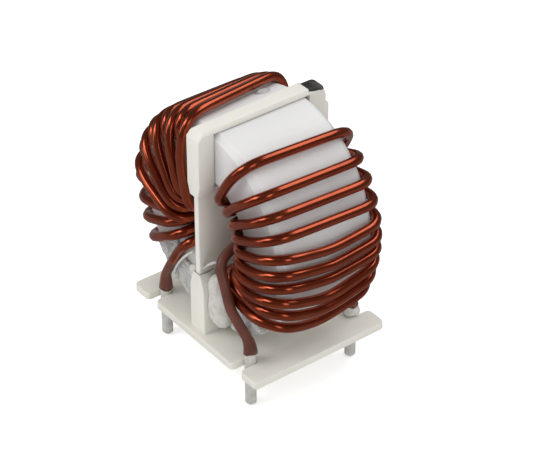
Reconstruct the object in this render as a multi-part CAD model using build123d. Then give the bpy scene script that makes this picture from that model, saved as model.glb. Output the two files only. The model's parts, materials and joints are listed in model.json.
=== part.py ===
from build123d import *
from math import ceil, cos, pi, radians, sin, sqrt
import os

os.makedirs("parts", exist_ok=True)

# Common mode filter: two coils on a ring core that stands upright on a small base plate.
# X runs across the two coils, Y along the axis of the ring, Z up, zero at the board.
# An angle round the ring is counted from straight up, positive towards the right coil.

flush = 0.01

# base plate and the slots that hold the wire ends
plate_t = 1.5
plate_corner = 1.0
plate_inset = 1.5
plate_rim = 1.4
slot_w = 2.2
pin_inset = 7.1
pin_outset = 1.1

# tinned wire ends
tin_d = 2.0
tin_collar_d = 2.1
tin_collar_end = 0.3
tin_rise = 1.9
tin_grip = 6.2
pin_reach = 7.8
pin_foot_round = 0.4
copper_d = 1.6

# ring case and the core inside it
case_r = 19.7
hole_r = 9.2
case_half = 10.0
case_wall = 1.0
case_rim = 1.0
ring_gap = 0.85
core_fit = 0.3
core_headroom = 1.2

# separator plate through the hole
wall_t = 1.2
wall_ledge = 2.9
wall_low_gap = 1.65
wall_high_gap = 0.65
slot_fit = 0.1

# lower posts, one piece with the base plate
post_t = 4.0
post_cover = 0.3
post_lap = 1.8
post_taper = 3.1
post_cheek = 0.3
part_gap = 0.1

# top cap over the ring
cap_t = 3.4
cap_cover = 0.5
cap_bridge = 0.85
cap_nose = 1.3
cap_heel = 0.8
cap_edge = 0.5
leg_lap = 0.7
leg_taper = 2.3
leg_cheek = 0.4
mark_length = 3.4
mark_drop = 0.8
mark_skin = 0.25

# enamelled wire
wire_d = 1.85
wire_sides = 10
bend_step = 31.0
lay_gap = 0.05
outer_bow = 0.5
front_bow = 0.95
back_bow = 0.4
rim_bend = 4.6
flat_rim_bend = 3.2
flat_bend = 2.0
loose_bend = 3.4
over_bend = 3.4
face_bend = 7.0
loose_lift = 0.9
inner_pitch = 13.7
face_mid = 0.42
over_mid = 0.55
plain_swing = 0.34
over_swing = 0.85
first_swing = 0.65

# angles round the ring of the outer runs, from the top turn down, at the front and the back
right_front = [30, 46, 57.5, 66.5, 76.5, 86, 92.5, 99.5, 108, 120]
right_back = [33, 48, 59, 69.5, 79.5, 89, 97, 104.5, 114.5, 129]
left_front = [12.5, 19, 26, 33.5, 41.5, 50, 58.5, 67.5, 77, 87.5, 100, 111, 122.5]
left_back = [21.5, 28.5, 35.5, 42.5, 49.5, 57, 64.5, 72.5, 81, 90.5, 100.5, 110.5, 120.5]
right_hole = 27.6
left_hole = 28.0
# layer in the hole of each left turn from the top, and the angles of the ones off the first layer
left_layer = [2, 0, 1, 0, 1, 0, 1, 0, 1, 0, 0, 0, 0]
left_lifted = {0: 30.0, 2: 45.5, 4: 64.5, 6: 83.5, 8: 102.5}
# how each turn lies on the front face
right_lie = ["loose"] * 7 + ["eased", "flat", "flat"]
left_lie = ["first"] + ["flat", "over"] * 4 + ["flat", "eased", "loose", "loose"]

# leads from the coils down to the pins
lead_bend = 3.0
cross_entry = 30.0
right_exit = 112.0
left_exit = 130.0
out_turn = 138.8
out_turn_step = 1.0
out_drop = 141.9
out_drop_step = 0.6
out_rise = 2.2
in_rise = 3.2
knee_step = 2.8

# clear adhesive beside the posts
glue_reach = 4.4
glue_nose = 0.9
glue_rise = 2.5
glue_below_wall = 2.9

ring_z = plate_t + ring_gap + case_r
wall_half = case_half + wall_ledge
wall_low = ring_z - hole_r + wall_low_gap
wall_high = ring_z + hole_r - wall_high_gap
plate_x = 2 * (case_r - plate_inset)
plate_y = 2 * (wall_half + plate_rim)
pin_x = case_r - pin_inset
pin_y = case_half + pin_outset
tin_top = plate_t + tin_rise
post_face = wall_half + post_cover
post_top = wall_low + post_lap
cap_face = wall_half + cap_cover
cap_top = ring_z + case_r + part_gap + cap_bridge
leg_end = wall_high - leg_lap
slot_room = wall_t + 2 * slot_fit

wire_r = wire_d / 2
corner_r = wire_r * sqrt(2 * pi / (wire_sides * sin(2 * pi / wire_sides)))
layer_step = 2 * corner_r + lay_gap
inner_r = hole_r - corner_r - lay_gap
outer_r = case_r + corner_r + outer_bow
face_near = case_half + corner_r + lay_gap
face_loose = face_near + loose_lift
face_far = face_near + layer_step

# each way to lie on a face: height and bend at the hole, then height, place and share of the swing
# about halfway, and the bend at the rim
lies = {"flat": (face_near, flat_bend, face_near, face_mid, plain_swing, flat_rim_bend),
        "eased": (face_near, flat_bend, face_loose, face_mid, plain_swing, rim_bend),
        "loose": (face_loose, loose_bend, face_loose, face_mid, plain_swing, rim_bend),
        "over": (face_far, over_bend, face_far, over_mid, over_swing, rim_bend),
        "first": (face_far, over_bend, face_far, over_mid, first_swing, rim_bend)}


def ring_point(radius, angle, y):
    turn = radians(angle)
    return Vector(radius * sin(turn), y, ring_z + radius * cos(turn))


def layer_radius(layer):
    return inner_r - layer * layer_step


def bent_path(corners):
    """Straight runs with each corner turned into a few flat steps that touch its bend arc."""
    points = [p for p, bend in corners]
    path = [points[0]]
    for i in range(1, len(points) - 1):
        corner, bend = corners[i]
        back = (points[i - 1] - corner).normalized()
        ahead = (points[i + 1] - corner).normalized()
        turn = 180 - back.get_angle(ahead)
        steps = max(1, ceil(turn / bend_step))
        middle = (back + ahead).normalized()
        centre = corner + middle * (bend / cos(radians(turn / 2)))
        across = (ahead - back).normalized()
        reach = bend / cos(radians(turn / steps / 2))
        for k in range(steps):
            swing = radians(turn * ((k + 0.5) / steps - 0.5))
            path.append(centre - middle * (reach * cos(swing)) + across * (reach * sin(swing)))
    return path + [points[-1]]


def wire_solid(path):
    """Many-sided wire along the path, its section carried through each mitre."""
    start = Plane(path[0], z_dir=path[1] - path[0])
    spokes = [2 * pi * k / wire_sides for k in range(wire_sides)]
    ring = [start.from_local_coords((corner_r * cos(a), corner_r * sin(a), 0)) for a in spokes]
    rings = [ring]
    for i in range(1, len(path)):
        run = (path[i] - path[i - 1]).normalized()
        following = (path[i + 1] - path[i]).normalized() if i + 1 < len(path) else run
        mitre = (run + following).normalized()
        ring = [p + run * ((path[i] - p).dot(mitre) / run.dot(mitre)) for p in ring]
        rings.append(ring)
    faces = [Face(Wire.make_polygon(rings[0])), Face(Wire.make_polygon(rings[-1]))]
    for low, high in zip(rings, rings[1:]):
        for k in range(wire_sides):
            n = (k + 1) % wire_sides
            faces.append(Face(Wire.make_polygon([low[k], low[n], high[n], high[k]])))
    return Solid(Shell(faces))


def face_run(radius, hole_angle, rim_angle, side, lie):
    """From the hole out over one face of the ring to the rim."""
    hole_y, hole_turn, mid_y, mid_share, swing, rim_turn = lies[lie]
    rim_y = case_half + wire_r + (front_bow if side < 0 else back_bow)
    mid_r = radius + (outer_r - radius) * mid_share
    mid_angle = hole_angle + (rim_angle - hole_angle) * swing
    return [(ring_point(radius, hole_angle, side * hole_y), hole_turn),
            (ring_point(mid_r, mid_angle, side * mid_y), face_bend),
            (ring_point(outer_r, rim_angle, side * rim_y), rim_turn)]


def lead_out(across, side, exit_angle):
    """From inside the hole down over the wires of one face to the pin."""
    middle_r = (hole_r + case_r) / 2
    pin = Vector(across * pin_x, side * pin_y, tin_top)
    return [(ring_point(layer_radius(1), across * exit_angle, side * face_far), over_bend),
            (ring_point(hole_r + out_turn_step, across * out_turn, side * face_far), lead_bend),
            (ring_point(middle_r + out_drop_step, across * out_drop, side * face_far), lead_bend),
            (pin + Vector(0, 0, out_rise), lead_bend),
            (pin, 0)]


def lead_in(across, side, hole_angle):
    """From the pin up into the lowest pass through the hole."""
    pin = Vector(across * pin_x, side * pin_y, tin_top)
    return [(pin, 0),
            (pin + Vector(0, 0, in_rise), lead_bend),
            (ring_point(hole_r + knee_step, across * hole_angle, side * face_near), lead_bend),
            (ring_point(inner_r, across * hole_angle, side * face_near), flat_bend)]


def right_corners():
    holes = [right_hole + inner_pitch * k for k in range(len(right_front))]
    corners = lead_in(1, 1, holes[-1])
    for k in reversed(range(len(right_front))):
        corners += face_run(inner_r, holes[k], right_front[k], -1, right_lie[k])
        if k > 0:
            inward = face_run(inner_r, holes[k - 1], right_back[k], 1, "flat")
        else:
            inward = face_run(layer_radius(1), cross_entry, right_back[k], 1, "over")
        corners += inward[::-1]
    return corners + lead_out(1, -1, right_exit)


def left_hole_at(k):
    layer = left_layer[k]
    if layer > 0:
        return layer_radius(layer), -left_lifted[k]
    first = left_layer[:k].count(0)
    return inner_r, -(left_hole + inner_pitch * first)


def left_corners():
    radius, angle = inner_r, -(left_hole + inner_pitch * left_layer.count(0))
    corners = lead_in(-1, -1, -angle)
    for k in reversed(range(len(left_front))):
        lie = "flat" if radius == inner_r else "over"
        corners += face_run(radius, angle, -left_back[k], 1, lie)
        radius, angle = left_hole_at(k)
        corners += face_run(radius, angle, -left_front[k], -1, left_lie[k])[::-1]
    return corners + lead_out(-1, 1, left_exit)


def copper_end(p):
    """Bare end of the wire inside its coat of solder."""
    return Pos(p.X, p.Y, tin_top - tin_grip) * extrude(RegularPolygon(copper_d / 2, wire_sides), tin_grip)


def winding_solid(corners):
    wire = wire_solid(bent_path(corners))
    return wire + copper_end(corners[0][0]) + copper_end(corners[-1][0])


def tinned_end(x, y):
    """Solder coat, a little thicker from just under the plate up to the enamel."""
    foot = Pos(x, y, -pin_reach / 2) * Cylinder(tin_d / 2, pin_reach)
    foot = chamfer(foot.edges().group_by(Axis.Z)[0], pin_foot_round)
    collar_length = tin_top + tin_collar_end
    collar = Pos(x, y, tin_top - collar_length / 2) * Cylinder(tin_collar_d / 2, collar_length)
    return foot + collar - copper_end(Vector(x, y, tin_top))


def ring_slice(inner, outer, y_from, y_to):
    return extrude(Plane.XZ.offset(-y_from) * (Circle(outer) - Circle(inner)), y_from - y_to)


def ring_body():
    """The whole case from outside, with its rims broken."""
    body = ring_slice(hole_r, case_r, -case_half, case_half)
    return chamfer([e for e in body.edges() if abs(abs(e.center().Y) - case_half) < flush], case_rim)


def core_case():
    seam = case_half - case_wall
    room = ring_slice(hole_r + case_wall, case_r - case_wall, case_wall - case_half, seam)
    above = ring_slice(hole_r - case_wall, case_r + case_wall, seam, case_half + case_wall)
    return Pos(0, 0, ring_z) * (ring_body() - room - above)


def core_case_lid():
    below = ring_slice(hole_r - case_wall, case_r + case_wall, -2 * case_half, case_half - case_wall)
    return Pos(0, 0, ring_z) * (ring_body() - below)


def magnetic_core():
    low = case_wall - case_half
    high = case_half - case_wall - core_headroom
    inner = hole_r + case_wall + core_fit
    outer = case_r - case_wall - core_fit
    return Pos(0, 0, ring_z) * ring_slice(inner, outer, low, high)


def upright(outline, y, face):
    """Bar with a given outline across X and Z, from beside the case out to its own face."""
    depth = face - case_half - part_gap
    middle = y * (face - depth / 2)
    return extrude(Plane.XZ.offset(-middle - depth / 2) * make_face(outline), depth)


def plate_slot(y, low, high):
    """Room for one end of the separator plate between two heights."""
    depth = wall_half + slot_fit - case_half - part_gap
    return Pos(0, y * (case_half + part_gap + depth / 2), (low + high) / 2) * Box(slot_room, depth, high - low)


def wire_slot(x, y):
    length = plate_y / 2 - pin_y + slot_w
    mouth = Pos(x, y * (pin_y + length / 2), 0) * Box(slot_w, length, 2 * plate_t + flush)
    return mouth + Pos(x, y * pin_y, 0) * Cylinder(slot_w / 2, 2 * plate_t + flush)


def base():
    plate = Pos(0, 0, plate_t / 2) * Box(plate_x, plate_y, plate_t)
    plate = fillet(plate.edges().filter_by(Axis.Z), plate_corner)
    for x in (-pin_x, pin_x):
        for y in (-1, 1):
            plate -= wire_slot(x, y)
    half = post_t / 2
    tip = slot_room / 2 + post_cheek
    shoulder = post_top - post_taper
    outline = Polyline((-half, 0), (half, 0), (half, shoulder), (tip, post_top),
                       (-tip, post_top), (-half, shoulder), close=True)
    for y in (-1, 1):
        plate += upright(outline, y, post_face) - plate_slot(y, wall_low - slot_fit, post_top + flush)
    return plate


def separator_plate():
    return Pos(0, 0, (wall_low + wall_high) / 2) * Box(wall_t, 2 * wall_half, wall_high - wall_low)


def crown(inset):
    """Outer form of the cap's top, drawn in evenly by the inset."""
    top = cap_top - inset
    face = cap_face - inset
    body = Pos(0, 0, (top + leg_end) / 2) * Box(cap_t - 2 * inset, 2 * face, top - leg_end)
    for y, corner in ((-face, cap_nose), (face, cap_heel)):
        ends = [e for e in body.edges().filter_by(Axis.X)
                if e.center().Z > top - flush and abs(e.center().Y - y) < flush]
        body = chamfer(ends, corner)
    sides = [e for e in body.edges().filter_by(Axis.Y) if e.center().Z > top - flush]
    return chamfer(sides, cap_edge)


def top_cap():
    half = cap_t / 2
    neck = slot_room / 2 + leg_cheek
    shoulder = leg_end + leg_taper
    outline = Polyline((-half, cap_top), (half, cap_top), (half, shoulder), (neck, leg_end),
                       (-neck, leg_end), (-half, shoulder), close=True)
    cap = Pos(0, 0, cap_top - cap_bridge / 2) * Box(cap_t, 2 * cap_face, cap_bridge)
    for y in (-1, 1):
        cap += upright(outline, y, cap_face) - plate_slot(y, leg_end - flush, wall_high + slot_fit)
    return cap & crown(0)


def mark_skin_room():
    """Thin skin over the back end of the cap's top, where the paint lies."""
    block = Pos(0, cap_face - mark_length / 2, cap_top - mark_drop / 2)
    return block * Box(2 * cap_t, mark_length, mark_drop) - crown(mark_skin)


def adhesive(side, y):
    """Lump of clear adhesive in the corner between post, ring and plate."""
    foot = post_t / 2
    high = wall_low - glue_below_wall
    depth = post_face - case_half - glue_nose
    outline = Polyline((foot, plate_t), (foot + glue_reach, plate_t),
                       (foot + glue_reach - glue_nose, plate_t + glue_rise),
                       (foot + glue_nose, high), (foot, high), close=True)
    middle = y * (case_half + depth / 2)
    lump = extrude(Plane.XZ.offset(-middle - depth / 2) * make_face(outline), depth)
    front = [e for e in lump.edges() if abs(e.center().Y - y * (case_half + depth)) < flush
             and e.center().X > foot + flush and e.center().Z > plate_t + flush]
    lump = chamfer(front, glue_nose)
    return lump if side > 0 else lump.mirror(Plane.YZ)


def save(shape, name):
    export_step(shape, f"parts/{name}.step")


if __name__ == "__main__":
    save(base(), "base")
    save(separator_plate(), "separator_plate")
    cap = top_cap()
    paint_room = mark_skin_room()
    save(cap - paint_room, "top_cap")
    save(cap & paint_room, "orientation_mark")
    save(core_case(), "core_case")
    save(core_case_lid(), "core_case_lid")
    save(magnetic_core(), "magnetic_core")
    save(winding_solid(right_corners()), "winding_right")
    save(winding_solid(left_corners()), "winding_left")
    for x, across in ((-1, "left"), (1, "right")):
        for y, along in ((-1, "front"), (1, "back")):
            save(tinned_end(x * pin_x, y * pin_y), f"tinned_end_{along}_{across}")
            save(adhesive(x, y), f"adhesive_{along}_{across}")
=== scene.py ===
import json
from math import atan, ceil, cos, pi, radians, sin, sqrt

import bpy
from mathutils import Matrix, Vector, kdtree
from mathutils import noise as turbulence

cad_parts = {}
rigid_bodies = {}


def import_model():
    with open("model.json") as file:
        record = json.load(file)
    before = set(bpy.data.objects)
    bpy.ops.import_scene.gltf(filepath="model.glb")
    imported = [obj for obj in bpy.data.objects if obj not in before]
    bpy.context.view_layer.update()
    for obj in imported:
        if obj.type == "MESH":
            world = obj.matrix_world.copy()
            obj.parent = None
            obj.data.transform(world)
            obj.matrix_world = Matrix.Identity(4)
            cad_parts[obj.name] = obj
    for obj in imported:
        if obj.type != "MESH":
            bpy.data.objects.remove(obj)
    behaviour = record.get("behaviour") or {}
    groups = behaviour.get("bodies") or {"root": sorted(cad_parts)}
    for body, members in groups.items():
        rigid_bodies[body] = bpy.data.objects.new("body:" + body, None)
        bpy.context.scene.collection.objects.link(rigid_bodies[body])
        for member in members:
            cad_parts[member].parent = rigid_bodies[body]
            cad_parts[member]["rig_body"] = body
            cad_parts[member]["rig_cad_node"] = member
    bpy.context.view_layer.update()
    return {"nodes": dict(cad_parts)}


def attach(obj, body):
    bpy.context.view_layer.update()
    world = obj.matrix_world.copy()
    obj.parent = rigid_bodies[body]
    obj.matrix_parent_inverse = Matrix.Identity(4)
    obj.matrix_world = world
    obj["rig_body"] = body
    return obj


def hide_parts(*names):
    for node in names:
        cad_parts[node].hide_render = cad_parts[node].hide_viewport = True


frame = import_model()

MM = 0.001

# sizes of the solids that the dressed pieces follow, in millimetres
case_r = 19.7
hole_r = 9.2
case_half = 10.0
case_rim = 1.0
ring_z = 22.05
pin_x = 12.6
pin_y = 11.1
tin_top = 3.4
pin_foot = -7.8

# the enamelled wire and how it lies on the ring
wire_d = 1.85
wire_sides = 10
lay_gap = 0.05
outer_bow = 0.5
front_bow = 0.95
back_bow = 0.4
rim_bend = 4.6
flat_rim_bend = 3.2
flat_bend = 2.0
loose_bend = 3.4
over_bend = 3.4
face_bend = 7.0
loose_lift = 0.9
inner_pitch = 13.7
face_mid = 0.42
over_mid = 0.55
plain_swing = 0.34
over_swing = 0.85
first_swing = 0.65
right_front = [30, 46, 56.5, 66.5, 76, 84.5, 91.5, 99, 106.5, 115]
right_back = [33, 48, 59, 69.5, 79, 87, 94, 101, 109, 119]
# the lower right turns hang slack, each given by its
# front rim (out, ahead, bend), middle (angle, out, bend) and back rim (out, bend)
slack = {4: ((0, 0, 4.6), (81.5, 0, 9), (0, 3.2)),
         5: ((0, 0, 4.6), (90, 0, 9), (0, 3.2)),
         6: ((0, 0, 4.6), (97.8, 0, 9), (0, 3.2)),
         7: ((0.3, 0.2, 4.4), (109, 0.5, 10), (0.1, 3.4)),
         8: ((0.6, 0.4, 4.6), (117.3, 1.0, 11), (0.25, 3.6)),
         9: ((1.0, 0.6, 4.8), (127, 1.5, 11), (0.4, 3.8))}
slack_middle = -0.5
left_front = [12.5, 19, 26, 33.5, 41.5, 50, 58.5, 67.5, 77, 87.5, 100, 111, 122.5]
left_back = [21.5, 28.5, 35.5, 42.5, 49.5, 57, 64.5, 72.5, 81, 90.5, 100.5, 110.5, 120.5]
right_hole = 27.6
left_hole = 28.0
left_layer = [2, 0, 1, 0, 1, 0, 1, 0, 1, 0, 0, 0, 0]
left_lifted = {0: 30.0, 2: 45.5, 4: 64.5, 6: 83.5, 8: 102.5}
right_lie = ["loose"] * 7 + ["eased", "flat", "flat"]
left_lie = ["first"] + ["flat", "over"] * 4 + ["flat", "eased", "loose", "loose"]

# leads from the coils down to the pins
lead_bend = 3.0
cross_entry = 30.0
left_exit = 130.0
out_turn = 138.8
out_turn_step = 1.0
out_drop = 141.9
out_drop_step = 0.6
out_rise = 2.2
in_rise = 3.2
knee_step = 2.8
# the right lead over the lower turns: radius, angle, distance before the ring, bend
front_lead = [(6.4, 113, 12.97, 3.2), (9.6, 126, 12.97, 3.0), (14.3, 137.5, 13.1, 4.5)]
front_lead_lean = -0.2
front_lead_rise = 2.1
front_lead_bend = 2.6
left_end_drop = 1.1

wire_r = wire_d / 2
corner_r = wire_r * sqrt(2 * pi / (wire_sides * sin(2 * pi / wire_sides)))
layer_step = 2 * corner_r + lay_gap
inner_r = hole_r - corner_r - lay_gap
outer_r = case_r + corner_r + outer_bow
face_near = case_half + corner_r + lay_gap
face_loose = face_near + loose_lift
face_far = face_near + layer_step
# how a turn crosses a face: distance out at the hole, its bend, distance out in the middle,
# share of the way there, share of the swing there, bend at the rim
lies = {"flat": (face_near, flat_bend, face_near, face_mid, plain_swing, flat_rim_bend),
        "eased": (face_near, flat_bend, face_loose, face_mid, plain_swing, rim_bend),
        "loose": (face_loose, loose_bend, face_loose, face_mid, plain_swing, rim_bend),
        "over": (face_far, over_bend, face_far, over_mid, over_swing, rim_bend),
        "first": (face_far, over_bend, face_far, over_mid, first_swing, rim_bend)}

# how finely the round wire is laid, and what soldering did to its ends
bend_step = 9.0
run_step = 1.2
soften_rounds = 6
round_detail = 3
wire_merge = 0.01
scorched_runs = {"right": (14.0, 31.0), "left": (11.0, 31.0)}
lead_fade = 5.0
end_flare = 0.42
flare_length = 3.2
end_ragged = 0.35
ragged_pitch = 1900.0
cut_reach = 0.01

# the adhesive: balls run together into lumps, films over the ring and beads along their edges
ball_segments = 24
ball_rings = 14
glue_voxel = 0.22
glue_smoothing = 14
lump_crease = 0.35
fine_crease = 0.1
collar_crease = 0.5
film_crease = 0.45
film_steps = 70
film_wander = 0.06
wander_along = 5
wander_over = 3
flush = 0.01
bead_order = 3
lump_masses = {"right": [((2.8, 10.8, 11.0), (2.2, 1.6, 3.0)), ((3.1, 10.8, 8.6), (2.8, 1.7, 3.4)),
                         ((3.5, 10.8, 6.2), (2.8, 1.7, 2.8)), ((3.0, 11.2, 7.6), (2.4, 1.4, 3.6))],
               "left": [((2.9, 11.0, 9.6), (1.2, 1.2, 2.4)), ((2.8, 11.0, 6.2), (1.1, 1.2, 2.8)),
                        ((2.8, 11.0, 3.4), (1.2, 1.2, 1.9)), ((4.0, 10.6, 10.6), (1.6, 0.8, 1.6))]}
dab_masses = [((-4.9, 5.2, 40.9), (1.3, 1.7, 0.6))]
collar_masses = [((pin_x, pin_y, 2.2), (1.7, 1.7, 0.9)),
                 ((pin_x - 0.3, pin_y, 3.4), (1.35, 1.35, 1.4))]
left_bead_line = [(-3.0, -11.6, 16.0), (-5.6, -11.3, 13.6), (-8.2, -11.0, 10.6),
                  (-10.4, -10.8, 7.2), (-10.6, -10.6, 6.2)]
right_bead_line = [(0.6, -12.3, 14.6), (2.0, -12.1, 16.3), (4.4, -11.8, 18.2), (6.6, -11.5, 19.2)]
left_bead_r = 0.27
right_bead_r = 0.25

# posts, separator plate, cap and mark as they are dressed
post_middle = 5.0
post_drop = 2.6
plate_step = 10.2
plate_foot = 15.0
cap_step_z = 39.6
cap_step_rise = 0.8
cap_step_out = 0.65
cap_back_face = 12.6
mark_from = 10.0
mark_bottom = 41.9
mark_depth = 0.25
cap_side = 1.7
cap_end = 13.4
heel_from = 12.0
cap_reach = 13.6
cap_shoulder = 42.2
cap_height = 42.7
heel_round = 1.3
near = 0.04
mouth_y = 14.0
mouth_from = 11.0
mouth_to = 14.0
paint_bottom = 42.45
paint_slope = 0.167
mark_skin = 0.04

# how the copies of the solids are joined up, rounded and shaded
solid_merge = 0.005
flat_angle = radians(1.0)
round_angle = radians(25)
smooth_angle = radians(40)
case_smooth = radians(30)
pin_smooth = radians(35)
base_round = 0.3
mouth_round = 0.9
mouth_steps = 4
base_steps = 3
plate_round = 0.12
plate_steps = 2
cap_round = 0.35
cap_steps = 3
heel_steps = 6
facing_down = -0.9

# shades of the finishes, the deeper one first
moulding_shades = ((0.77, 0.75, 0.68), (0.80, 0.78, 0.72))
case_shades = ((0.73, 0.725, 0.715), (0.76, 0.755, 0.75))
enamel_shades = ((0.34, 0.052, 0.017), (0.44, 0.078, 0.026))
scorched_shades = ((0.115, 0.028, 0.014), (0.19, 0.050, 0.028))
tin_shades = ((0.62, 0.61, 0.57), (0.80, 0.79, 0.75))
milky_shades = ((0.74, 0.71, 0.65), (0.86, 0.84, 0.79))
clear_shades = ((0.60, 0.58, 0.54), (0.96, 0.955, 0.94))
paint_shades = ((0.028, 0.024, 0.024), (0.10, 0.095, 0.09))
ferrite_shades = ((0.03, 0.03, 0.033), (0.05, 0.05, 0.054))
floor_shades = ((0.90, 0.90, 0.90), (0.93, 0.93, 0.93))
off_and_on = ((0, 0, 0), (1, 1, 1))
mottle_share = 0.5
mirrored_floor = (0.25, 0.25, 0.25, 1)
floor_glow = 0.42
floor_width = 4.0

# sockets of the colour mix that share a name
mix_first, mix_second, mix_result = 6, 7, 2


def clear_selection():
    bpy.ops.object.select_all(action="DESELECT")


def take(piece):
    clear_selection()
    piece.select_set(True)
    bpy.context.view_layer.objects.active = piece


def open_mesh(piece):
    """Edit mode with all of the piece selected."""
    take(piece)
    bpy.ops.object.mode_set(mode="EDIT")
    bpy.ops.mesh.select_all(action="SELECT")


def close_mesh():
    bpy.ops.object.mode_set(mode="OBJECT")


def name_piece(piece, name):
    piece.name = name
    piece.data.name = name


def finish(piece, material):
    piece.data.materials.clear()
    piece.data.materials.append(material)


def settle(piece):
    """Puts the piece's place into its mesh."""
    take(piece)
    bpy.ops.object.transform_apply(location=True, rotation=True, scale=True)


# materials

def new_material(name):
    material = bpy.data.materials.new(name)
    material.use_nodes = True
    nodes = material.node_tree.nodes
    shader = nodes["Principled BSDF"]
    place = nodes.new("ShaderNodeTexCoord")
    return material, material.node_tree, shader, place


def noise(tree, place, scale, detail=2.0, stretch=None):
    node = tree.nodes.new("ShaderNodeTexNoise")
    node.inputs["Scale"].default_value = scale
    node.inputs["Detail"].default_value = detail
    source = place.outputs["Object"]
    if stretch:
        mapping = tree.nodes.new("ShaderNodeMapping")
        mapping.inputs["Scale"].default_value = stretch
        tree.links.new(source, mapping.inputs["Vector"])
        source = mapping.outputs["Vector"]
    tree.links.new(source, node.inputs["Vector"])
    return node.outputs["Fac"]


def tones(tree, factor, low, high, shades):
    """Runs from the first shade at the low value to the second at the high one."""
    ramp = tree.nodes.new("ShaderNodeValToRGB")
    for element, at, shade in zip(ramp.color_ramp.elements, (low, high), shades):
        element.position = at
        element.color = (*shade, 1)
    tree.links.new(factor, ramp.inputs["Fac"])
    return ramp.outputs["Color"]


def value_range(tree, factor, low, high):
    node = tree.nodes.new("ShaderNodeMapRange")
    node.inputs["To Min"].default_value = low
    node.inputs["To Max"].default_value = high
    tree.links.new(factor, node.inputs["Value"])
    return node.outputs["Result"]


def bump(tree, height, strength, distance):
    node = tree.nodes.new("ShaderNodeBump")
    node.inputs["Strength"].default_value = strength
    node.inputs["Distance"].default_value = distance
    tree.links.new(height, node.inputs["Height"])
    return node.outputs["Normal"]


def moulded_plastic(name, shades, smoothest, roughest):
    material, tree, shader, place = new_material(name)
    cloud = noise(tree, place, scale=90.0, detail=3.0)
    grain = noise(tree, place, scale=1700.0, detail=2.0)
    tree.links.new(tones(tree, cloud, 0.35, 0.65, shades), shader.inputs["Base Color"])
    tree.links.new(value_range(tree, cloud, smoothest, roughest), shader.inputs["Roughness"])
    tree.links.new(bump(tree, grain, strength=0.2, distance=0.00005), shader.inputs["Normal"])
    shader.inputs["Subsurface Weight"].default_value = 0.25
    shader.inputs["Subsurface Radius"].default_value = (1.0, 0.8, 0.55)
    shader.inputs["Subsurface Scale"].default_value = 0.0012
    return material


def enamelled_copper():
    """Copper under clear brown enamel, scorched dull along the leads."""
    material, tree, shader, place = new_material("enamelled_copper")
    lead = tree.nodes.new("ShaderNodeAttribute")
    lead.attribute_name = "lead"
    mottle = noise(tree, place, scale=230.0, detail=3.0)
    fine = noise(tree, place, scale=1300.0, detail=3.0)
    enamel = tones(tree, mottle, 0.3, 0.7, enamel_shades)
    scorched = tones(tree, mottle, 0.3, 0.7, scorched_shades)
    patchy = tree.nodes.new("ShaderNodeMath")
    patchy.operation = "MULTIPLY_ADD"
    patchy.inputs[1].default_value = mottle_share
    tree.links.new(mottle, patchy.inputs[0])
    offset = tree.nodes.new("ShaderNodeMath")
    offset.operation = "SUBTRACT"
    offset.inputs[1].default_value = mottle_share / 2
    tree.links.new(lead.outputs["Fac"], offset.inputs[0])
    tree.links.new(offset.outputs["Value"], patchy.inputs[2])
    edge = tones(tree, patchy.outputs["Value"], 0.42, 0.58, off_and_on)
    blend = tree.nodes.new("ShaderNodeMix")
    blend.data_type = "RGBA"
    tree.links.new(edge, blend.inputs["Factor"])
    tree.links.new(enamel, blend.inputs[mix_first])
    tree.links.new(scorched, blend.inputs[mix_second])
    tree.links.new(blend.outputs[mix_result], shader.inputs["Base Color"])
    tree.links.new(value_range(tree, edge, low=0.92, high=0.0), shader.inputs["Metallic"])
    tree.links.new(value_range(tree, edge, low=0.21, high=0.55), shader.inputs["Roughness"])
    tree.links.new(bump(tree, fine, strength=0.06, distance=0.00002), shader.inputs["Normal"])
    shader.inputs["Coat Weight"].default_value = 0.35
    shader.inputs["Coat Roughness"].default_value = 0.08
    return material


def tinned_solder():
    material, tree, shader, place = new_material("tinned_solder")
    cloud = noise(tree, place, scale=700.0, detail=3.0)
    runs = noise(tree, place, scale=900.0, detail=2.0, stretch=(1.0, 1.0, 0.3))
    tree.links.new(tones(tree, cloud, 0.3, 0.7, tin_shades), shader.inputs["Base Color"])
    tree.links.new(value_range(tree, cloud, low=0.36, high=0.52), shader.inputs["Roughness"])
    tree.links.new(bump(tree, runs, strength=0.35, distance=0.00012), shader.inputs["Normal"])
    shader.inputs["Metallic"].default_value = 0.3
    return material


def set_adhesive(name, shades, clearness, crease):
    """Set adhesive: milky where it is thick, clear where it is a film."""
    material, tree, shader, place = new_material(name)
    folds = noise(tree, place, scale=260.0, detail=3.0)
    specks = noise(tree, place, scale=900.0, detail=3.0)
    tree.links.new(tones(tree, specks, 0.32, 0.5, shades), shader.inputs["Base Color"])
    tree.links.new(value_range(tree, folds, low=0.08, high=0.28), shader.inputs["Roughness"])
    tree.links.new(bump(tree, folds, strength=crease, distance=0.0006), shader.inputs["Normal"])
    shader.inputs["Transmission Weight"].default_value = clearness
    shader.inputs["IOR"].default_value = 1.47
    shader.inputs["Subsurface Weight"].default_value = 0.2
    shader.inputs["Subsurface Radius"].default_value = (1.0, 0.9, 0.75)
    shader.inputs["Subsurface Scale"].default_value = 0.001
    return material


def marking_paint():
    material, tree, shader, place = new_material("marking_paint")
    scuffs = noise(tree, place, scale=500.0, detail=4.0)
    tree.links.new(tones(tree, scuffs, 0.45, 0.72, paint_shades), shader.inputs["Base Color"])
    tree.links.new(value_range(tree, scuffs, low=0.35, high=0.6), shader.inputs["Roughness"])
    return material


def dark_ferrite():
    material, tree, shader, place = new_material("dark_ferrite")
    grain = noise(tree, place, scale=1200.0, detail=3.0)
    tree.links.new(tones(tree, grain, 0.4, 0.6, ferrite_shades), shader.inputs["Base Color"])
    shader.inputs["Roughness"].default_value = 0.7
    return material


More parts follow.
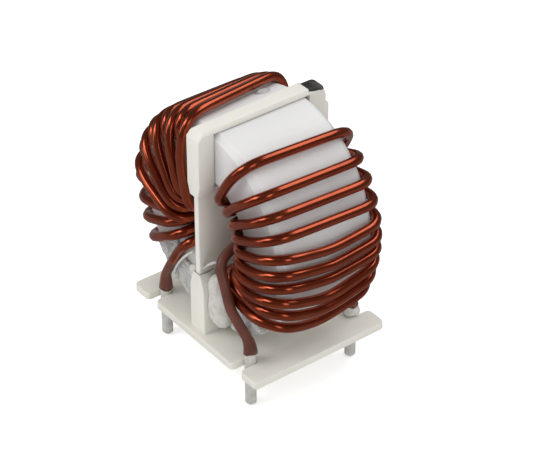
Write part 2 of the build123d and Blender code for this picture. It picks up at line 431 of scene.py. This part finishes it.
def pale_floor():
    """Pale floor that the camera sees as white, with the object's shadow kept."""
    material, tree, shader, place = new_material("pale_floor")
    grain = noise(tree, place, scale=40.0, detail=2.0)
    tree.links.new(tones(tree, grain, 0.3, 0.7, floor_shades), shader.inputs["Base Color"])
    shader.inputs["Roughness"].default_value = 0.9
    glow = tree.nodes.new("ShaderNodeEmission")
    glow.inputs["Strength"].default_value = floor_glow
    path = tree.nodes.new("ShaderNodeLightPath")
    both = tree.nodes.new("ShaderNodeAddShader")
    tree.links.new(shader.outputs["BSDF"], both.inputs[0])
    tree.links.new(glow.outputs["Emission"], both.inputs[1])
    seen = tree.nodes.new("ShaderNodeMixShader")
    tree.links.new(path.outputs["Is Camera Ray"], seen.inputs["Fac"])
    tree.links.new(shader.outputs["BSDF"], seen.inputs[1])
    tree.links.new(both.outputs["Shader"], seen.inputs[2])
    dim = tree.nodes.new("ShaderNodeBsdfDiffuse")
    dim.inputs["Color"].default_value = mirrored_floor
    mirrored = tree.nodes.new("ShaderNodeMixShader")
    tree.links.new(path.outputs["Is Glossy Ray"], mirrored.inputs["Fac"])
    tree.links.new(seen.outputs["Shader"], mirrored.inputs[1])
    tree.links.new(dim.outputs["BSDF"], mirrored.inputs[2])
    tree.links.new(mirrored.outputs["Shader"], tree.nodes["Material Output"].inputs["Surface"])
    return material


# the wires

def ring_point(radius, angle, y):
    turn = radians(angle)
    return Vector((radius * sin(turn), y, ring_z + radius * cos(turn)))


def layer_radius(layer):
    return inner_r - layer * layer_step


def face_run(radius, hole_angle, rim_angle, side, lie):
    """From the hole out over one face of the ring to the rim."""
    hole_y, hole_turn, mid_y, mid_share, swing, rim_turn = lies[lie]
    rim_y = case_half + wire_r + (front_bow if side < 0 else back_bow)
    mid_r = radius + (outer_r - radius) * mid_share
    mid_angle = hole_angle + (rim_angle - hole_angle) * swing
    return [(ring_point(radius, hole_angle, side * hole_y), hole_turn),
            (ring_point(mid_r, mid_angle, side * mid_y), face_bend),
            (ring_point(outer_r, rim_angle, side * rim_y), rim_turn)]


def lead_out(across, side, exit_angle):
    """From inside the hole down over the wires of one face to the pin."""
    middle_r = (hole_r + case_r) / 2
    pin = Vector((across * pin_x, side * pin_y, tin_top))
    return [(ring_point(layer_radius(1), across * exit_angle, side * face_far), over_bend),
            (ring_point(hole_r + out_turn_step, across * out_turn, side * face_far), lead_bend),
            (ring_point(middle_r + out_drop_step, across * out_drop, side * face_far), lead_bend),
            (pin + Vector((0, 0, out_rise)), lead_bend),
            (pin, 0)]


def right_front_lead():
    """The right coil's lead, over the lower turns and down to its pin."""
    pin = Vector((pin_x, -pin_y, tin_top))
    knee = pin + Vector((front_lead_lean, 0, front_lead_rise))
    over_turns = [(ring_point(radius, angle, -out), bend)
                  for radius, angle, out, bend in front_lead]
    return over_turns + [(knee, front_lead_bend), (pin, 0)]


def lead_in(across, side, hole_angle, drop=0.0):
    """From the pin up into the lowest pass through the hole."""
    pin = Vector((across * pin_x, side * pin_y, tin_top - drop))
    return [(pin, 0),
            (pin + Vector((0, 0, in_rise)), lead_bend),
            (ring_point(hole_r + knee_step, across * hole_angle, side * face_near), lead_bend),
            (ring_point(inner_r, across * hole_angle, side * face_near), flat_bend)]


def right_corners():
    holes = [right_hole + inner_pitch * k for k in range(len(right_front))]
    corners = lead_in(1, 1, holes[-1])
    for k in reversed(range(len(right_front))):
        outward = face_run(inner_r, holes[k], right_front[k], -1, right_lie[k])
        if k > 0:
            inward = face_run(inner_r, holes[k - 1], right_back[k], 1, "flat")
        else:
            inward = face_run(layer_radius(1), cross_entry, right_back[k], 1, "over")
        if k in slack:
            outward, inward = slacken(k, outward, inward)
        corners += outward + inward[::-1]
    return corners + right_front_lead()


def slacken(k, outward, inward):
    """Lets a lower turn hang away from the ring between its two rims."""
    (front_out, ahead, front_bend), middle, (back_out, back_bend) = slack[k]
    middle_angle, middle_out, middle_bend = middle
    front_y = outward[-1][0].y - ahead
    back_y = inward[-1][0].y
    outward[-1] = (ring_point(outer_r + front_out, right_front[k], front_y), front_bend)
    inward[-1] = (ring_point(outer_r + back_out, right_back[k], back_y), back_bend)
    outward.append((ring_point(outer_r + middle_out, middle_angle, slack_middle), middle_bend))
    return outward, inward


def left_hole_at(k):
    layer = left_layer[k]
    if layer > 0:
        return layer_radius(layer), -left_lifted[k]
    first = left_layer[:k].count(0)
    return inner_r, -(left_hole + inner_pitch * first)


def left_corners():
    radius, angle = inner_r, -(left_hole + inner_pitch * left_layer.count(0))
    corners = lead_in(-1, -1, -angle, left_end_drop)
    for k in reversed(range(len(left_front))):
        lie = "flat" if radius == inner_r else "over"
        corners += face_run(radius, angle, -left_back[k], 1, lie)
        radius, angle = left_hole_at(k)
        corners += face_run(radius, angle, -left_front[k], -1, left_lie[k])[::-1]
    return corners + lead_out(-1, 1, left_exit)


def wire_line(corners):
    """Straight runs joined by bend arcs, then softened a little as wire pulled by hand is."""
    points = [p for p, bend in corners]
    line = [points[0]]
    for i in range(1, len(points) - 1):
        corner, bend = corners[i]
        back = (points[i - 1] - corner).normalized()
        ahead = (points[i + 1] - corner).normalized()
        turn = pi - back.angle(ahead)
        steps = max(1, ceil(turn / radians(bend_step)))
        middle = (back + ahead).normalized()
        centre = corner + middle * (bend / cos(turn / 2))
        across = (ahead - back).normalized()
        for k in range(steps + 1):
            swing = turn * (k / steps - 0.5)
            add_run(line, centre - middle * (bend * cos(swing)) + across * (bend * sin(swing)))
    add_run(line, points[-1])
    return soften(line)


def add_run(line, goal):
    start = line[-1]
    pieces = max(1, ceil((goal - start).length / run_step))
    line += [start.lerp(goal, (k + 1) / pieces) for k in range(pieces)]


def soften(line):
    for _ in range(soften_rounds):
        middle = [(a + b * 2 + c) / 4 for a, b, c in zip(line, line[1:], line[2:])]
        line = [line[0]] + middle + [line[-1]]
    return line


def lead_share(line, from_start, from_end):
    """How far each point lies into the scorched ends of the wire, 0 to 1."""
    along = [0.0]
    for a, b in zip(line, line[1:]):
        along.append(along[-1] + (b - a).length)
    whole = along[-1]
    shares = []
    for s in along:
        start = (from_start - s) / lead_fade
        end = (from_end - (whole - s)) / lead_fade
        shares.append(max(0.0, min(1.0, max(start, end))))
    return shares


def wire_piece(name, corners, from_start, from_end, material):
    line = wire_line(corners)
    bpy.ops.curve.primitive_nurbs_path_add()
    piece = bpy.context.object
    curve = piece.data
    curve.splines.clear()
    spline = curve.splines.new("POLY")
    spline.points.add(len(line) - 1)
    for point, p in zip(spline.points, line):
        point.co = (*(p * MM), 1.0)
    curve.dimensions = "3D"
    curve.twist_mode = "MINIMUM"
    curve.bevel_depth = wire_r * MM
    curve.bevel_resolution = round_detail
    curve.use_fill_caps = True
    take(piece)
    bpy.ops.object.convert(target="MESH")
    piece = bpy.context.object
    open_mesh(piece)
    bpy.ops.mesh.remove_doubles(threshold=wire_merge * MM)
    bpy.ops.mesh.normals_make_consistent(inside=False)
    close_mesh()
    bpy.ops.object.shade_smooth()
    shape_ends(piece, line, lead_share(line, from_start, from_end))
    name_piece(piece, name)
    finish(piece, material)
    return piece


def shape_ends(piece, line, shares):
    """Marks the scorched leads, widens the wire towards its ends and makes the cuts ragged."""
    middle_line = kdtree.KDTree(len(line))
    for i, p in enumerate(line):
        middle_line.insert(p * MM, i)
    middle_line.balance()
    lead = piece.data.attributes.new("lead", "FLOAT", "POINT")
    for vertex in piece.data.vertices:
        centre, i = middle_line.find(vertex.co)[:2]
        lead.data[vertex.index].value = shares[i]
        to_end = min((centre - line[0] * MM).length, (centre - line[-1] * MM).length) / MM
        if to_end < flare_length:
            vertex.co += (vertex.co - centre) * end_flare * (1 - to_end / flare_length)
        if to_end < cut_reach:
            vertex.co.z += end_ragged * MM * turbulence.noise(vertex.co * ragged_pitch)


# rounded copies of the moulded pieces

def loose_copy(node, name):
    """Copy of a solid, joined up and cleared of flat cuts, free to be worked on."""
    take(frame["nodes"][node])
    bpy.ops.object.duplicate()
    piece = bpy.context.object
    name_piece(piece, name)
    open_mesh(piece)
    bpy.ops.mesh.remove_doubles(threshold=solid_merge * MM)
    bpy.ops.mesh.dissolve_limited(angle_limit=flat_angle)
    close_mesh()
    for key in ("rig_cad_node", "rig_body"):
        if key in piece:
            del piece[key]
    piece.parent = None
    return piece


def round_chosen(piece, chosen, width, segments):
    """Rounds only the edges whose two ends pass the test."""
    open_mesh(piece)
    bpy.ops.mesh.select_mode(type="EDGE")
    bpy.ops.mesh.select_all(action="DESELECT")
    close_mesh()
    places = [vertex.co / MM for vertex in piece.data.vertices]
    for edge in piece.data.edges:
        a, b = edge.vertices
        edge.select = chosen(places[a], places[b])
    bpy.ops.object.mode_set(mode="EDIT")
    bpy.ops.mesh.bevel(offset=width * MM, segments=segments, affect="EDGES")
    bpy.ops.mesh.select_mode(type="VERT")
    close_mesh()


def at_slot_mouth(a, b):
    """Upright edges of the plate beside the open ends of the wire slots."""
    upright = abs(a.x - b.x) < near and abs(a.y - b.y) < near and abs(a.z - b.z) > near
    return upright and abs(a.y) > mouth_y and mouth_from < abs(a.x) < mouth_to


def on_heel(a, b):
    """The edges across the back end of the cap's top."""
    return min(a.y, b.y) > cap_reach - near and min(a.z, b.z) > cap_shoulder - near


def cut_across(piece, place, normal, drop_beyond=False):
    """Cuts the piece at a plane, and drops what is past it if asked."""
    open_mesh(piece)
    bpy.ops.mesh.bisect(plane_co=[c * MM for c in place], plane_no=normal, clear_outer=drop_beyond)
    close_mesh()


def round_edges(piece, width, segments):
    """Rounds every sharp edge and gives the piece its white plastic."""
    apply_modifier(piece, "BEVEL", width=width * MM, segments=segments, limit_method="ANGLE",
                   angle_limit=round_angle, use_clamp_overlap=True)
    bpy.ops.object.shade_smooth_by_angle(angle=smooth_angle)
    finish(piece, white_plastic)
    return piece


def low_base():
    """The posts stand a little lower than their solids, as the real ones do."""
    piece = loose_copy("base", "base_rounded")
    for vertex in piece.data.vertices:
        if vertex.co.z > post_middle * MM:
            vertex.co.z -= post_drop * MM
    round_chosen(piece, at_slot_mouth, mouth_round, mouth_steps)
    return round_edges(piece, base_round, base_steps)


def choose_feet(piece):
    """Selects the undersides of the separator plate's two ends."""
    for polygon in piece.data.polygons:
        low = polygon.normal.z < facing_down and polygon.center.z < plate_foot * MM
        polygon.select = low and abs(polygon.center.y) > plate_step * MM


def long_plate():
    """The separator plate, its two lower ends carried down into the posts."""
    piece = loose_copy("separator_plate", "separator_plate_rounded")
    for side in (-1, 1):
        cut_across(piece, (0, side * plate_step, 0), (0, 1, 0))
    choose_feet(piece)
    bpy.ops.object.mode_set(mode="EDIT")
    bpy.ops.mesh.select_mode(type="FACE")
    close_mesh()
    choose_feet(piece)
    bpy.ops.object.mode_set(mode="EDIT")
    bpy.ops.mesh.extrude_region_move(TRANSFORM_OT_translate={"value": (0, 0, -post_drop * MM)})
    bpy.ops.mesh.select_mode(type="VERT")
    close_mesh()
    return round_edges(piece, plate_round, plate_steps)


def fill_mark_room(piece):
    """Brings the sunk place of the mark out flush and the back end out to a square corner."""
    for vertex in piece.data.vertices:
        x, y, z = vertex.co / MM
        if y < mark_from - near or z < mark_bottom - near or abs(x) > cap_side - near:
            continue
        if z < mark_bottom + near / 2:
            x, y = cap_side, (cap_end if y > heel_from else y)
        else:
            x, z = abs(x) + mark_depth, z + mark_depth
            y += mark_depth if y > heel_from else 0
        vertex.co = Vector((x if vertex.co.x > 0 else -x, y, z)) * MM
    for vertex in piece.data.vertices:
        x, y, z = vertex.co / MM
        if y > heel_from and z > mark_bottom - near:
            vertex.co.y = cap_reach * MM
            vertex.co.z = (cap_shoulder if z < cap_shoulder + near else cap_height) * MM
        elif y > cap_end - near:
            vertex.co.y = cap_reach * MM
    open_mesh(piece)
    bpy.ops.mesh.remove_doubles(threshold=near * MM / 2)
    bpy.ops.mesh.dissolve_limited(angle_limit=flat_angle)
    close_mesh()


def stepped_cap():
    """The cap, its back leg standing out a little below a small step."""
    piece = loose_copy("top_cap", "top_cap_rounded")
    fill_mark_room(piece)
    round_chosen(piece, on_heel, heel_round, heel_steps)
    for height in (cap_step_z, cap_step_z - cap_step_rise):
        cut_across(piece, (0, 0, height), (0, 0, 1))
    step_middle = cap_step_z - cap_step_rise / 2
    for vertex in piece.data.vertices:
        if vertex.co.y > cap_back_face * MM and vertex.co.z < step_middle * MM:
            vertex.co.y += cap_step_out * MM
    return round_edges(piece, cap_round, cap_steps)


def painted_end(cap):
    """The orientation mark, a skin of paint that follows the rounded end of the cap."""
    take(cap)
    bpy.ops.object.duplicate()
    piece = bpy.context.object
    name_piece(piece, "orientation_mark_paint")
    start = (0, mark_from, paint_bottom)
    cut_across(piece, start, (0, -1, 0), drop_beyond=True)
    cut_across(piece, start, (0, -paint_slope, -1), drop_beyond=True)
    apply_modifier(piece, "SOLIDIFY", thickness=mark_skin * MM, offset=1.0)
    finish(piece, paint)
    return piece


# clear adhesive

def clouds(name, kind, pitch):
    texture = bpy.data.textures.new(name, kind)
    texture.noise_scale = pitch * MM
    return texture


def apply_modifier(piece, kind, **settings):
    modifier = piece.modifiers.new(kind.lower(), kind)
    for key, value in settings.items():
        setattr(modifier, key, value)
    take(piece)
    bpy.ops.object.modifier_apply(modifier=modifier.name)


def crease_skin(piece, folds, depth):
    apply_modifier(piece, "DISPLACE", texture=folds, strength=depth * MM, mid_level=0.5,
                   texture_coords="GLOBAL")


def glue_lump(name, masses, glue, crease=lump_crease):
    """Several rounded masses run together, with creases in the skin."""
    clear_selection()
    balls = []
    for place, radii in masses:
        bpy.ops.mesh.primitive_uv_sphere_add(
            segments=ball_segments, ring_count=ball_rings, radius=MM,
            location=[c * MM for c in place], scale=radii)
        balls.append(bpy.context.object)
    for ball in balls:
        ball.select_set(True)
    bpy.context.view_layer.objects.active = balls[0]
    if len(balls) > 1:
        bpy.ops.object.join()
    piece = bpy.context.object
    settle(piece)
    apply_modifier(piece, "REMESH", mode="VOXEL", voxel_size=glue_voxel * MM)
    apply_modifier(piece, "SMOOTH", factor=0.5, iterations=glue_smoothing)
    crease_skin(piece, soft_folds, crease)
    crease_skin(piece, sharp_folds, fine_crease)
    bpy.ops.object.shade_smooth()
    name_piece(piece, name)
    finish(piece, glue)
    return piece


def glue_film(name, across, from_angle, to_angle, inner_edge, wrap, thickness):
    """Creased film over the ring's front face and round its rim on to the outside."""
    clear_selection()
    bpy.ops.mesh.primitive_grid_add(x_subdivisions=film_steps, y_subdivisions=film_steps, size=1.0)
    piece = bpy.context.object
    face_length = case_r - case_rim - inner_edge
    rim_length = case_rim * sqrt(2)
    for vertex in piece.data.vertices:
        u, v = vertex.co.x + 0.5, vertex.co.y + 0.5
        u += film_wander * turbulence.noise(Vector((v * wander_along, u * wander_over, from_angle)))
        v += film_wander * turbulence.noise(Vector((u * wander_along, v * wander_over, to_angle)))
        angle = from_angle + (to_angle - from_angle) * u
        along = v * (face_length + rim_length + wrap)
        if along < face_length:
            radius, y = inner_edge + along, case_half
        elif along < face_length + rim_length:
            step = (along - face_length) / sqrt(2)
            radius, y = case_r - case_rim + step, case_half - step
        else:
            radius, y = case_r, case_half - case_rim - (along - face_length - rim_length)
        vertex.co = ring_point(radius + flush, across * angle, -(y + flush)) * MM
    apply_modifier(piece, "SOLIDIFY", thickness=thickness * MM, offset=across)
    crease_skin(piece, sharp_folds, film_crease)
    open_mesh(piece)
    bpy.ops.mesh.normals_make_consistent(inside=False)
    close_mesh()
    bpy.ops.object.shade_smooth()
    name_piece(piece, name)
    finish(piece, clear_glue)
    return piece


def glue_bead(name, places, bead_r, glue):
    """Rounded rim where the adhesive ran to an edge."""
    bpy.ops.curve.primitive_nurbs_path_add()
    piece = bpy.context.object
    curve = piece.data
    curve.splines.clear()
    spline = curve.splines.new("NURBS")
    spline.points.add(len(places) - 1)
    for point, p in zip(spline.points, places):
        point.co = (*(c * MM for c in p), 1.0)
    spline.order_u = bead_order
    spline.use_endpoint_u = True
    curve.bevel_depth = bead_r * MM
    curve.use_fill_caps = True
    take(piece)
    bpy.ops.object.convert(target="MESH")
    piece = bpy.context.object
    bpy.ops.object.shade_smooth()
    name_piece(piece, name)
    finish(piece, glue)
    return piece


# the finishes

white_plastic = moulded_plastic("warm_white_plastic", moulding_shades,
                                smoothest=0.38, roughest=0.48)
case_plastic = moulded_plastic("case_white_plastic", case_shades, smoothest=0.34, roughest=0.44)
copper = enamelled_copper()
solder = tinned_solder()
milky_glue = set_adhesive("milky_adhesive", milky_shades, clearness=0.25, crease=0.45)
clear_glue = set_adhesive("clear_adhesive", clear_shades, clearness=0.55, crease=0.8)
soft_folds = clouds("soft_folds", "CLOUDS", pitch=1.6)
sharp_folds = clouds("sharp_folds", "VORONOI", pitch=0.9)
paint = marking_paint()
ferrite = dark_ferrite()

# the solids that stay as they are

node_finish = {"core_case": case_plastic, "core_case_lid": case_plastic, "magnetic_core": ferrite}
for node, material in node_finish.items():
    finish(frame["nodes"][node], material)
for end in ("front", "back"):
    for hand in ("left", "right"):
        tinned_end = frame["nodes"][f"tinned_end_{end}_{hand}"]
        finish(tinned_end, solder)
        take(tinned_end)
        bpy.ops.object.shade_smooth_by_angle(angle=pin_smooth)
for node in ("core_case", "core_case_lid"):
    take(frame["nodes"][node])
    bpy.ops.object.shade_smooth_by_angle(angle=case_smooth)

# the dressed pieces

cap = stepped_cap()
for piece, node, slot in ((low_base(), "base", "moulding"),
                          (long_plate(), "separator_plate", "moulding"),
                          (cap, "top_cap", "moulding"),
                          (painted_end(cap), "orientation_mark", "mark")):
    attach(piece, "root")
    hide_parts(node)

for hand, corners in (("right", right_corners()), ("left", left_corners())):
    winding = wire_piece(f"winding_{hand}_round", corners, *scorched_runs[hand], copper)
    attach(winding, "root")
    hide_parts(f"winding_{hand}")

for end, along in (("front", -1), ("back", 1)):
    for hand, across in (("left", -1), ("right", 1)):
        masses = [((across * x, along * y, z), radii) for (x, y, z), radii in lump_masses[hand]]
        lump = glue_lump(f"adhesive_{end}_{hand}_lump", masses, milky_glue)
        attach(lump, "root")
        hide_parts(f"adhesive_{end}_{hand}")

for piece in (glue_film("adhesive_film_right", 1, from_angle=134, to_angle=160, inner_edge=11.5,
                        wrap=3.0, thickness=0.5),
              glue_film("adhesive_film_left", -1, from_angle=122, to_angle=168, inner_edge=12.5,
                        wrap=9.0, thickness=0.6),
              glue_bead("adhesive_bead_left", left_bead_line, left_bead_r, milky_glue),
              glue_bead("adhesive_bead_right", right_bead_line, right_bead_r, clear_glue),
              glue_lump("adhesive_dab_top", dab_masses, clear_glue),
              glue_lump("adhesive_collar", collar_masses, milky_glue, collar_crease)):
    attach(piece, "root")

# floor, light and camera
clear_selection()
bpy.ops.mesh.primitive_plane_add(size=floor_width, location=(0, 0, pin_foot * MM))
floor = bpy.context.object
name_piece(floor, "floor")
settle(floor)
floor.data.materials.append(pale_floor())

plain_white = (1.0, 1.0, 1.0, 1)
sky_light = 0.72
sky_mirrored = 0.10
sky_seen = 1.0

world = bpy.data.worlds.new("studio")
bpy.context.scene.world = world
world.use_nodes = True
world_tree = world.node_tree
world_out = world_tree.nodes["World Output"]
path = world_tree.nodes.new("ShaderNodeLightPath")
sky = world_tree.nodes["Background"]
sky.inputs["Color"].default_value = plain_white
sky.inputs["Strength"].default_value = sky_light
shown = sky.outputs["Background"]
for ray, strength in (("Is Glossy Ray", sky_mirrored), ("Is Camera Ray", sky_seen)):
    other = world_tree.nodes.new("ShaderNodeBackground")
    other.inputs["Color"].default_value = plain_white
    other.inputs["Strength"].default_value = strength
    switch = world_tree.nodes.new("ShaderNodeMixShader")
    world_tree.links.new(path.outputs[ray], switch.inputs["Fac"])
    world_tree.links.new(shown, switch.inputs[1])
    world_tree.links.new(other.outputs["Background"], switch.inputs[2])
    shown = switch.outputs["Shader"]
world_tree.links.new(shown, world_out.inputs["Surface"])


def softbox(name, place, aim, size, power):
    bpy.ops.object.light_add(type="AREA", location=place)
    lamp = bpy.context.object
    lamp.name = name
    lamp.data.shape = "RECTANGLE"
    lamp.data.size, lamp.data.size_y = size
    lamp.data.energy = power
    lamp.rotation_euler = (Vector(aim) - Vector(place)).to_track_quat("-Z", "Y").to_euler()


# name, place, what it is aimed at and size in metres, power in watts
for lamp in (("overhead", (0.04, 0.24, 0.40), (0, 0, 0.02), (0.42, 0.18), 0.50),
             ("front_top", (-0.14, -0.34, 0.40), (0, 0, 0.01), (0.30, 0.14), 0.50),
             ("left_front", (-0.25, -0.40, 0.22), (0, 0, 0.02), (0.16, 0.30), 0.26),
             ("right", (0.45, -0.10, 0.25), (0, 0, 0.02), (0.14, 0.30), 0.22)):
    softbox(*lamp)

view_turn = radians(52.74)
view_rise = radians(35.32)
view_roll = radians(-0.14)
view_reach = 384.04 * MM
aim_x = 2.19
aim_z = 18.26
focal_pixels = 2206.98
half_width_pixels = 270.0
nearest_seen = 0.01

back = Vector((sin(view_turn) * cos(view_rise), -cos(view_turn) * cos(view_rise), sin(view_rise)))
level = Vector((cos(view_turn), sin(view_turn), 0))
above = back.cross(level)
right_axis = level * cos(view_roll) + above * sin(view_roll)
up_axis = above * cos(view_roll) - level * sin(view_roll)
target = (level * aim_x + Vector((0, 0, aim_z))) * MM
bpy.ops.object.camera_add()
camera = bpy.context.object
turned = Matrix((right_axis, up_axis, back)).transposed().to_4x4()
camera.matrix_world = Matrix.Translation(target + back * view_reach) @ turned
camera.data.sensor_fit = "HORIZONTAL"
camera.data.angle = 2 * atan(half_width_pixels / focal_pixels)
camera.data.clip_start = nearest_seen
bpy.context.scene.camera = camera
bpy.context.scene.view_settings.view_transform = "Standard"
